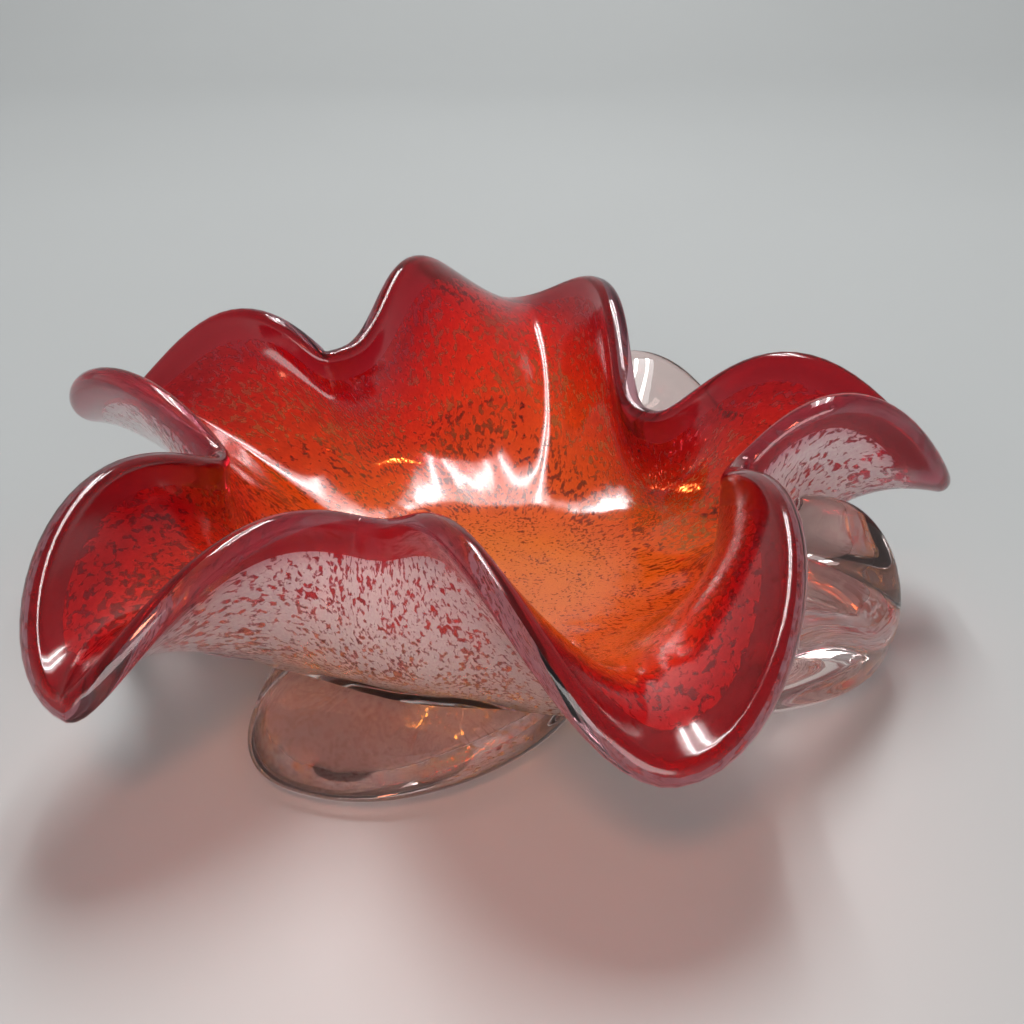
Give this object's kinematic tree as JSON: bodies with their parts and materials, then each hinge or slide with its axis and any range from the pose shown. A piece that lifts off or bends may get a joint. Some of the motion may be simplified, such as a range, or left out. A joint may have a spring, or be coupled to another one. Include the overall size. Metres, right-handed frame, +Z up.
{
  "type": "art glass bowl",
  "caption": "Low free-form bowl of cased glass: drooping petal rim, red to orange lining over silver flecks, thick clear casing, and round clear lobes at the base.",
  "frame": {"origin": "middle of the flat foot, in the plane of the foot's ground rim", "axes": "+Z up out of the bowl, -Y towards the pinch at the front, +X to the right seen from the front"},
  "size_m": [0.2061, 0.2395, 0.061],
  "materials": {
    "clear_glass": "clear, fire polished, ground flat at the foot",
    "silver_flecks": "broken silver leaf, whitish flecks inside the glass",
    "red_glass": "transparent scarlet turning orange in the floor, fire polished",
    "lobe_glass": "clear, fire polished"
  },
  "bodies": {
    "root": {"crystal_casing": "clear_glass", "silver_leaf": "silver_flecks", "ruby_lining": "red_glass", "front_lobe": "lobe_glass", "right_lobe": "lobe_glass", "back_right_lobe": "lobe_glass", "back_left_lobe": "lobe_glass", "left_lobe": "lobe_glass"}
  },
  "joints": []
}
